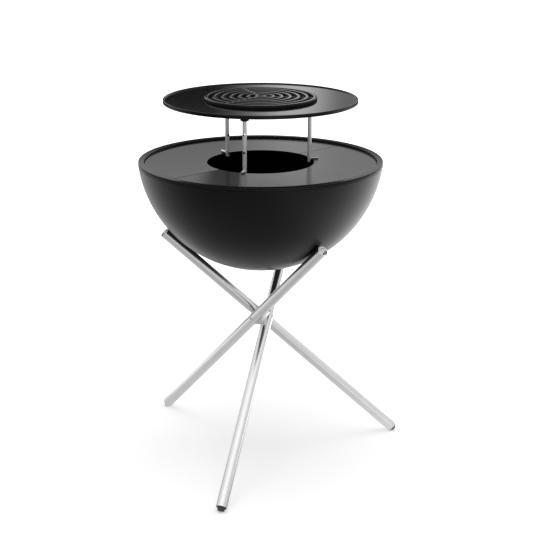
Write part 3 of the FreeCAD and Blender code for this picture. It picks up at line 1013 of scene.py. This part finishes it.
@dataclass
class FireBowl:
    """Part-spherical bowl with a turned rim that carries the griddle ring.

    The rim has a ledge on its inside and a wall beside the griddle ring. On its outside a top band stands
    over a neck and a belt, which is grooved underneath. Its heights are above the rim's own base.
    """

    wall: float = 0.003
    outer_rows: int = 80
    inner_rows: int = 48
    columns: int = 224
    ledge_radius: float = 0.256
    ledge_top: float = 0.003
    ledge_outside: float = 0.275
    wall_inside: float = 0.2715
    rim_outside: float = 0.2852
    belt_bottom: float = 0.0059
    belt_top: float = 0.0097
    under_groove: Triple = (0.2806, 0.2836, 0.0051)
    neck_radius: float = 0.2827
    band_bottom: float = 0.0117
    rim_top: float = 0.0133
    under_edge: float = 0.0004
    belt_rounding: float = 0.0009
    band_edges: Pair = (0.0003, 0.0006)
    wall_rounding: float = 0.0008
    ledge_edge: float = 0.0006

    def ball(self) -> Pair:
        """Find the bowl's sphere.

        Formula: a spherical cap of height h and edge radius e has the radius (e e + h h) / 2h.

        Returns:
            The sphere's outer radius and the height of its centre.
        """
        low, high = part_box("bowl_shell")
        depth = high.z - low.z
        edge = 0.5 * (high.x - low.x)
        radius = (edge * edge + depth * depth) / (2 * depth)
        return radius, low.z + radius

    def shell(self) -> Surface:
        """Turn the bowl: an arc from the bottom up to the edge, and the inner arc back to the bottom.

        Formula: its points lie at r = R sin t and z = centre - R cos t, for t from the bottom to the edge.

        Returns:
            The shell with its wall.
        """
        radius, centre = self.ball()
        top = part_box("bowl_shell")[1].z
        arcs = []
        for reach, rows in ((radius, self.outer_rows), (radius - self.wall, self.inner_rows)):
            turn = np.linspace(0, math.acos((centre - top) / reach), rows)
            arcs.append(np.stack([reach * np.sin(turn), centre - reach * np.cos(turn)], axis=-1))
        return turned(np.vstack([arcs[0], arcs[1][::-1]]), self.columns, looped=False)

    def rim(self) -> Surface:
        """Turn the rim.

        Returns:
            The ledge for the griddle ring, the wall, the top band, and the grooved belt under it.
        """
        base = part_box("rim_ring")[0].z
        groove_start, groove_end, groove_top = self.under_groove
        band_low_edge, band_high_edge = self.band_edges
        steps = [(self.ledge_radius, 0, self.under_edge), (self.ledge_outside, 0, self.under_edge),
                 (self.ledge_outside, self.belt_bottom, 0), (groove_start, self.belt_bottom, 0),
                 (groove_start, groove_top, 0), (groove_end, groove_top, 0),
                 (groove_end, self.belt_bottom, 0), (self.rim_outside, self.belt_bottom, self.under_edge),
                 (self.rim_outside, self.belt_top, self.belt_rounding), (self.neck_radius, self.belt_top, 0),
                 (self.neck_radius, self.band_bottom, 0), (self.rim_outside, self.band_bottom, band_low_edge),
                 (self.rim_outside, self.rim_top, band_high_edge),
                 (self.wall_inside, self.rim_top, self.wall_rounding),
                 (self.wall_inside, self.ledge_top, self.wall_rounding),
                 (self.ledge_radius, self.ledge_top, self.ledge_edge)]
        return turned(rounded([(radius, base + up, soft) for radius, up, soft in steps]), self.columns)

    def build(self) -> None:
        """Build the bowl and its rim."""
        radius, centre = self.ball()
        # The bowl's coat carries painted shade inside the bowl, where it is darker and duller.
        coat = BlackCoat("bowl_coat", inside_shade_radius=radius - 0.5 * self.wall, inside_shade_height=centre)
        bowl = make_piece("bowl", [self.shell()], coat.material())
        settle(bowl, "bowl", "bowl_enamel", "bowl_shell")
        rim_coat = BlackCoat("rim_coat", level=0.001, roughness=0.2, refraction=1.35, fall=0.17)
        rim = make_piece("bowl_rim", [self.rim()], rim_coat.material())
        settle(rim, "bowl", "rim_enamel", "rim_ring")


@dataclass
class GriddleRing:
    """Griddle ring in two halves that lie on the bowl's ledge."""

    inner_radius: float = 0.125
    outer_radius: float = 0.2707
    thickness: float = 0.005
    edge: float = 0.0008
    seam_azimuth: float = math.radians(42.3)
    seam_gap: float = 0.001
    seam_edge: float = 0.0006
    seam_steps: int = 2
    seam_angle: float = math.radians(50)
    # Stretches of X over which the painted shade on the front half fades in and ends.
    painted_shade_band: tuple[Pair, Pair] = ((-0.155, -0.095), (-0.051, -0.035))

    def half(self, azimuth: float) -> Surface:
        """Sweep one half.

        Args:
            azimuth: direction of the seam at which the half starts.

        Returns:
            The half, from that seam on through half a turn.
        """
        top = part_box("plancha_front")[1].z
        edges = [self.edge] * 4
        outline = four_sided(self.inner_radius, self.outer_radius, top - self.thickness, top, edges)
        return half_ring(outline, azimuth, self.seam_gap)

    def build(self) -> None:
        """Build both halves, with their seam edges broken by a small bevel."""
        # The front half carries a band of painted shade.
        halves = (("rear", self.seam_azimuth, None), ("front", self.seam_azimuth + HALF_TURN, self.painted_shade_band))
        for side, azimuth, painted_shade_band in halves:
            steel = GriddleSteel(f"{side}_half_steel", painted_shade_band=painted_shade_band).material()
            half = make_piece(f"griddle_half_{side}", [self.half(azimuth)], steel)
            bevel = half.modifiers.new("seam_edge", "BEVEL")
            bevel.width = self.seam_edge
            bevel.segments = self.seam_steps
            bevel.limit_method = "ANGLE"
            bevel.angle_limit = self.seam_angle
            settle(half, f"plancha_{side}", "griddle_steel", f"plancha_{side}")


@dataclass
class UpperGriddle:
    """Round griddle plate with a low lip, on three rods with pins through them."""

    plate_columns: int = 256
    hole_radius: float = 0.104
    hole_edge: float = 0.0005
    plate_radius: float = 0.225
    plate_rounding: float = 0.0015
    thickness: float = 0.006
    lip_width: float = 0.0032
    lip_rounding: float = 0.0009
    lip_fillet: float = 0.0012
    leg_circle: float = 0.118
    leg_azimuth: float = math.radians(252.5)
    rod_radius: float = 0.005
    rod_skin: float = 0.0004
    collar_columns: int = 64
    collar_radius: float = 0.010
    collar_bore: float = 0.00505
    collar_rounding: float = 0.003
    collar_edges: Pair = (0.0003, 0.0002)
    pin_columns: int = 48
    pin_radius: float = 0.003
    pin_rounding: float = 0.0007
    pin_start: float = 0.113
    pin_end: float = 0.139
    screw_radius: float = 0.0044
    screw_side: float = 0.0001
    screw_crown: float = 0.0004
    screw_socket: float = 0.0018
    screw_depth: float = 0.0004

    def plate(self) -> Surface:
        """Turn the plate.

        Returns:
            The plate with its lip.
        """
        low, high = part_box("upper_plate")
        bottom, lip_top = low.z, high.z
        top = bottom + self.thickness
        lip = self.plate_radius - self.lip_width
        corners = [(self.hole_radius, bottom, self.hole_edge),
                   (self.plate_radius, bottom, self.plate_rounding),
                   (self.plate_radius, lip_top, self.plate_rounding), (lip, lip_top, self.lip_rounding),
                   (lip, top, self.lip_fillet), (self.hole_radius, top, self.hole_edge)]
        return turned(rounded(corners), self.plate_columns)

    def collar(self, azimuth: float) -> Surface:
        """Set a socket.

        Args:
            azimuth: direction of its rod.

        Returns:
            The socket that holds the rod under the plate.
        """
        low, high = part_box("leg_collar_front")
        low_edge, high_edge = self.collar_edges
        edges = (low_edge, self.collar_rounding, high_edge, high_edge)
        outline = four_sided(self.collar_bore, self.collar_radius, low.z, high.z, edges)
        socket = turned(outline, self.collar_columns)
        return socket.placed(upright_axes(azimuth), self.leg_spot(azimuth, 0))

    def leg_spot(self, azimuth: float, height: float) -> np.ndarray:
        """Return the point on a rod's axis at a height."""
        return np.array([self.leg_circle * math.cos(azimuth), self.leg_circle * math.sin(azimuth), height])

    def pin(self, azimuth: float, height: float) -> Surface:
        """Set a pin.

        Args:
            azimuth: direction of its rod.
            height: height of the pin.

        Returns:
            A pin with rounded ends, pointing out from the axis.
        """
        corners = [(0, self.pin_start, 0), (self.pin_radius, self.pin_start, self.pin_rounding),
                   (self.pin_radius, self.pin_end, self.pin_rounding), (0, self.pin_end, 0)]
        turned_pin = turned(rounded(corners, looped=False), self.pin_columns, looped=False)
        return turned_pin.placed(radial_axes(azimuth), np.array([0, 0, height]))

    def screw(self, azimuth: float) -> Surface:
        """Set a screw over a rod.

        Args:
            azimuth: direction of the rod.

        Returns:
            A low domed screw head in the plate's surface.
        """
        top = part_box("upper_plate")[0].z + self.thickness
        head = socket_head(self.screw_radius, self.screw_side, self.screw_crown, self.screw_socket,
                           self.screw_depth)
        return head.placed(upright_axes(azimuth), self.leg_spot(azimuth, top))

    def rod_steel(self, side: str, azimuth: float) -> BrightSteel:
        """Choose the steel of a rod.

        Args:
            side: side that the rod stands on.
            azimuth: direction of the rod.

        Returns:
            A finish with painted shade in the rod's cross holes.
        """
        across, back, _ = self.leg_spot(azimuth, 0).tolist()
        return BrightSteel(f"rod_steel_{side}", Grain.UPRIGHT, roughness=0.4,
                           core_radius=self.rod_radius - self.rod_skin, core_place=(across, back))

    def build(self) -> None:
        """Build the plate, sockets, pins and screws, and dress the rods."""
        plate_steel = GriddleSteel("plate_steel", roughness=0.075).material()
        plate = make_piece("upper_griddle", [self.plate()], plate_steel)
        settle(plate, "stand", "plate_steel", "upper_plate")
        collar_coat = BlackCoat("collar_coat", level=0.005, roughness=0.35).material()
        pin_steel = BrightSteel("pin_steel", Grain.EVEN, roughness=0.25).material()
        azimuths = [self.leg_azimuth + number * THIRD_TURN for number in range(len(SIDES))]
        for side, azimuth in zip(SIDES, azimuths):
            collar = make_piece(f"rod_socket_{side}", [self.collar(azimuth)], collar_coat)
            settle(collar, "stand", "collar_black", f"leg_collar_{side}")
            dress_node(f"stand_leg_{side}", self.rod_steel(side, azimuth).material())
            low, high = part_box(f"height_pin_{side}")
            pin = make_piece(f"rest_pin_{side}", [self.pin(azimuth, 0.5 * (low.z + high.z))], pin_steel)
            settle(pin, f"pin_{side}", "stainless_rod", f"height_pin_{side}")
        screw_steel = BrightSteel("plate_screw_steel", Grain.EVEN, level=0.03, roughness=0.35).material()
        screws = make_piece("plate_screws", [self.screw(azimuth) for azimuth in azimuths], screw_steel)
        settle(screws, "stand", "stainless_screw", "collar_screws")


@dataclass
class Grate:
    """Round cast grate: concentric bars on three spokes, with a locating rim below."""

    columns: int = 128
    edge_steps: int = 6
    low_edge: float = 0.0004
    bar_count: int = 7
    bar_start: float = 0.011
    bar_pitch: float = 0.01925
    bar_width: float = 0.0076
    deep_bars: int = 5
    outer_bar: Pair = (0.1209, 0.1305)
    bar_rounding: float = 0.0018
    outer_rounding: float = 0.0045
    spoke_count: int = 3
    spoke_azimuth: float = math.radians(350)
    spoke_drop: float = 0.0003
    spoke_rounding: float = 0.0034
    spigot: Pair = (0.100, 0.1035)
    spigot_depth: float = 0.012
    spigot_height: float = 0.0155

    def outline(self, inner: float, outer: float, low: float, high: float, soft: Pair) -> np.ndarray:
        """Return the outline of a bar, with its own rounding for the inner and the outer top edge."""
        edges = (self.low_edge, self.low_edge, soft[1], soft[0])
        return four_sided(inner, outer, low, high, edges, self.edge_steps)

    def rings(self, seat: float, low: float, high: float) -> list[Surface]:
        """Return the round bars and the locating rim.

        Args:
            seat: height of the plate's surface.
            low: height of the grate's underside.
            high: height of its top.

        Returns:
            One surface each: the outer bar, the inner ones from the middle out, and the locating rim.
        """
        half = 0.5 * self.bar_width
        soft = (self.bar_rounding, self.bar_rounding)
        outlines = [self.outline(*self.outer_bar, seat, high, (self.bar_rounding, self.outer_rounding))]
        for number in range(self.bar_count - 1):
            middle = self.bar_start + number * self.bar_pitch
            bottom = low if number < self.deep_bars else seat
            outlines.append(self.outline(middle - half, middle + half, bottom, high, soft))
        foot = seat - self.spigot_depth
        rim_soft = (self.low_edge, self.low_edge)
        outlines.append(self.outline(*self.spigot, foot, foot + self.spigot_height, rim_soft))
        return [turned(outline, self.columns) for outline in outlines]

    def spokes(self, seat: float, high: float) -> list[Surface]:
        """Lay the spokes.

        Args:
            seat: height of the plate's surface, at which they start.
            high: height of the bars' tops, just below which they end.

        Returns:
            One surface for each spoke.
        """
        half = 0.5 * self.bar_width
        soft = (self.spoke_rounding, self.spoke_rounding)
        section = self.outline(-half, half, seat, high - self.spoke_drop, soft)
        turns = FULL_TURN * np.arange(self.spoke_count) / self.spoke_count
        end = self.outer_bar[0] + half
        return [bar(section, self.bar_start, end, self.spoke_azimuth + turn) for turn in turns]

    def build(self) -> None:
        """Build the bars, spokes and locating rim as one piece."""
        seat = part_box("upper_plate")[0].z + UpperGriddle.thickness
        low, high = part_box("grate_insert")
        surfaces = self.rings(seat, low.z, high.z) + self.spokes(seat, high.z)
        grate = make_piece("cast_grate", surfaces, CastIron("grate_iron", high.z).material())
        settle(grate, "grate", "grate_iron", "grate_insert")


# Studio


@dataclass(frozen=True)
class Rise:
    """Smooth rise of a light level by an amount, from a low place to a high one."""

    amount: float
    low: float
    high: float

    def at(self, place: Signal) -> Signal:
        """Return how far the level has risen at a place."""
        return self.amount * place.ease(self.low, self.high)


@dataclass(frozen=True)
class PaleFloor:
    """Floor that is white to the camera, with the object's shadow, and unevenly lit as metal mirrors it."""

    name: str
    paint: float = 0.9
    white: float = 0.345
    white_rise: Rise = Rise(0.655, 0.45, 1.3)
    left: float = 0.63
    left_rise: Rise = Rise(0.11, -0.9, -0.4)
    middle_rise: Rise = Rise(0.06, -0.3, 0.0)
    right: float = 0.6
    right_loss: Rise = Rise(0.28, 0.0, 1.5)
    right_stretch: Pair = (0.0, 0.9)
    under: float = 0.78
    under_rise: Rise = Rise(0.42, 0.35, 0.95)
    front: float = 0.45
    back_rise: Rise = Rise(1.15, -1.3, 1.5)
    far_loss: Rise = Rise(0.95, 2.2, 4.5)
    wide_loss: Rise = Rise(0.5, 1.5, 4.0)

    def mirrored(self, x: Signal, y: Signal, radius: Signal) -> Signal:
        """Return the floor's brightness as metal mirrors it.

        Formula: the level rises from the left to the right and from the front to the back. It is lower under
        the object, far behind it and far to its sides.

        Args:
            x: place from left to right.
            y: place from front to back.
            radius: distance from the object's axis.

        Returns:
            The brightness, where 1 is white.
        """
        right = (self.right - self.right_loss.at(y)) * x.ease(*self.right_stretch)
        across = self.left + self.left_rise.at(x) + self.middle_rise.at(x) + right
        near = self.under + self.under_rise.at(radius)
        deep = self.front + self.back_rise.at(y)
        return across * near * deep * (1 - self.far_loss.at(y)) * (1 - self.wide_loss.at(abs(x)))

    def material(self) -> Material:
        """Make the finish.

        Returns:
            The floor\'s material.
        """
        material, web = new_material(self.name)
        x, y, _ = web.parts(web.place())
        radius = (x * x + y * y).root()
        mirrored = web.node("ShaderNodeEmission", {"Strength": self.mirrored(x, y, radius)}).outputs[0]
        matt = web.node("ShaderNodeBsdfDiffuse", {"Color": grey(self.paint)}).outputs[0]
        shown = self.white + self.white_rise.at(radius)
        white = web.node("ShaderNodeEmission", {"Strength": shown}).outputs[0]
        seen = web.node("ShaderNodeAddShader", {0: matt, 1: white}).outputs[0]
        path = web.node("ShaderNodeLightPath")
        look = web.node("ShaderNodeMixShader", {0: path.outputs["Is Camera Ray"], 1: mirrored, 2: seen})
        web.node("ShaderNodeOutputMaterial", {"Surface": look.outputs[0]})
        return material


@dataclass(frozen=True)
class Room:
    """Light round the object: white to the camera, and an even fill on matt surfaces.

    Metal mirrors a dark screen low at the back left, a bright wedge beside it, a pale back above them and a
    bright front. Stretches are parts of a direction of unit length.
    """

    name: str
    fill: float = 0.55
    black: float = 0.012
    behind: Pair = (-0.25, 0.25)
    sides: Pair = (0.12, 0.35)
    screen_top: Pair = (0.186, 0.206)
    screen_right: Pair = (-0.045, 0.025)
    screen_end: Pair = (0.1, 0.15)
    wedge: float = 0.9
    wedge_top: Pair = (0.182, 0.196)
    wedge_left: Pair = (-0.035, 0.025)
    wedge_right: Pair = (0.03, 0.07)
    wedge_foot: float = 0.7
    wedge_rise: Rise = Rise(0.3, 0.155, 0.182)
    back: float = 0.29
    back_rise: Rise = Rise(0.54, 0.195, 0.235)
    upper_rise: Rise = Rise(0.15, 0.25, 0.4)
    low_loss: float = 0.9
    low_end: Pair = (0.05, 0.13)
    flank: float = 0.1
    flank_rise: Rise = Rise(0.45, 0.05, 0.25)
    front: float = 0.75
    front_rise: Rise = Rise(0.45, 0.5, 0.9)

    def mirrored(self, web: Web) -> Signal:
        """Light the room as metal mirrors it.

        Formula: the back is pale and rises with the height. The screen and the lowest part darken it, and the
        wedge and the flanks brighten it. The front rises with the height too.

        Args:
            web: the world's node tree.

        Returns:
            The brightness in each direction, where 1 is white.
        """
        x, y, z = web.parts(web.place("Generated"))
        behind = y.ease(*self.behind)
        aside = abs(x)
        side = aside.ease(*self.sides)
        below_top = 1 - z.ease(*self.screen_top)
        screen = below_top * (1 - x.ease(*self.screen_right)) * (1 - aside.ease(*self.screen_end))
        wedge_width = x.ease(*self.wedge_left) - x.ease(*self.wedge_right)
        wedge_light = self.wedge_foot + self.wedge_rise.at(z)
        wedge = (1 - z.ease(*self.wedge_top)) * wedge_width * wedge_light
        rise = self.back_rise.at(z) + self.upper_rise.at(z)
        lit = (1 - screen) * (1 - self.low_loss * (1 - z.ease(*self.low_end)) * (1 - side))
        flank = side * (self.flank + self.flank_rise.at(z))
        back = self.black + lit * (self.back + self.wedge * wedge + rise * (1 - side) + flank)
        return behind * back + (1 - behind) * (self.front + self.front_rise.at(z))

    def build(self) -> None:
        """Make the room the scene's world."""
        world = bpy.data.worlds.new(self.name)
        bpy.context.scene.world = world
        world.use_nodes = True
        web = Web(world.node_tree)
        path = web.node("ShaderNodeLightPath")
        camera, glossy, through = (Signal(web, path.outputs[f"Is {kind} Ray"])
                                   for kind in ("Camera", "Glossy", "Transmission"))
        gloss = glossy.larger(through)
        strength = camera + (1 - camera) * (gloss * self.mirrored(web) + (1 - gloss) * self.fill)
        background = web.node("ShaderNodeBackground", {"Color": grey(1.0), "Strength": strength})
        web.node("ShaderNodeOutputWorld", {"Surface": background.outputs[0]})


@dataclass(frozen=True)
class Lamp:
    """Soft rectangular lamp, hidden from camera and metal. A brightness of 1 makes its face white."""

    name: str
    place: Triple
    size: Pair
    brightness: float

    def hang(self, target: Triple) -> None:
        """Hang the lamp.

        Args:
            target: point that it shines at.
        """
        width, height = self.size
        data = bpy.data.lights.new(self.name, "AREA")
        data.shape = "RECTANGLE"
        data.size, data.size_y = width, height
        data.energy = self.brightness * math.pi * width * height
        lamp = bpy.data.objects.new(self.name, data)
        lamp.location = self.place
        aim = np.array(target) - np.array(self.place)
        level = math.hypot(aim[0], aim[1])
        lamp.rotation_euler = (math.atan2(level, -aim[2]), 0, math.atan2(-aim[0], aim[1]))
        lamp.visible_camera = False
        lamp.visible_glossy = False
        bpy.context.scene.collection.objects.link(lamp)


@dataclass
class Studio:
    """Camera, pale floor, surrounding light and lamps."""

    camera_place: Triple = (0.0, -2.8104, 1.3582)
    camera_pitch: float = math.radians(17.504)
    lens: float = 82.80
    sensor: float = 36.0
    shift: float = 0.01117
    view_end: float = 200.0
    floor_half: float = 30.0
    lamp_target: Triple = (0.0, 0.0, 0.6)
    lamps: tuple[Lamp, ...] = (
        Lamp("overhead_lamp", (0.0, 0.0, 2.8), (2.2, 2.2), 2.4),
        Lamp("right_lamp", (2.6, 0.6, 1.5), (1.2, 1.8), 1.0),
    )

    def camera(self) -> None:
        """Place the camera at the photograph's viewing angle."""
        data = bpy.data.cameras.new("camera")
        data.lens = self.lens
        data.sensor_width = self.sensor
        data.shift_x = self.shift
        data.clip_end = self.view_end
        camera = bpy.data.objects.new("camera", data)
        camera.location = self.camera_place
        camera.rotation_euler = (QUARTER_TURN - self.camera_pitch, 0, 0)
        bpy.context.scene.collection.objects.link(camera)
        bpy.context.scene.camera = camera

    def floor(self) -> None:
        """Lay the floor, a square about the object's axis."""
        side = self.floor_half
        corners = [(-side, -side, 0), (side, -side, 0), (side, side, 0), (-side, side, 0)]
        mesh = bpy.data.meshes.new("floor")
        mesh.from_pydata(corners, [], [(0, 1, 2, 3)])
        mesh.materials.append(PaleFloor("pale_floor").material())
        floor = bpy.data.objects.new("floor", mesh)
        bpy.context.scene.collection.objects.link(floor)

    def build(self) -> None:
        """Set up the camera, floor, room and lamps."""
        self.camera()
        self.floor()
        Room("studio").build()
        for lamp in self.lamps:
            lamp.hang(self.lamp_target)
        bpy.context.scene.view_settings.view_transform = "Standard"
        log.info("camera, floor, room and lamps are set")


def main() -> None:
    """Build the studio and the sub-assemblies in order."""
    logging.basicConfig(level=logging.INFO, format="%(message)s")
    for assembly in (Studio(), Tripod(), FireBowl(), GriddleRing(), UpperGriddle(), Grate()):
        log.info("building %s", type(assembly).__name__)
        assembly.build()


if __name__ == "__main__":
    main()
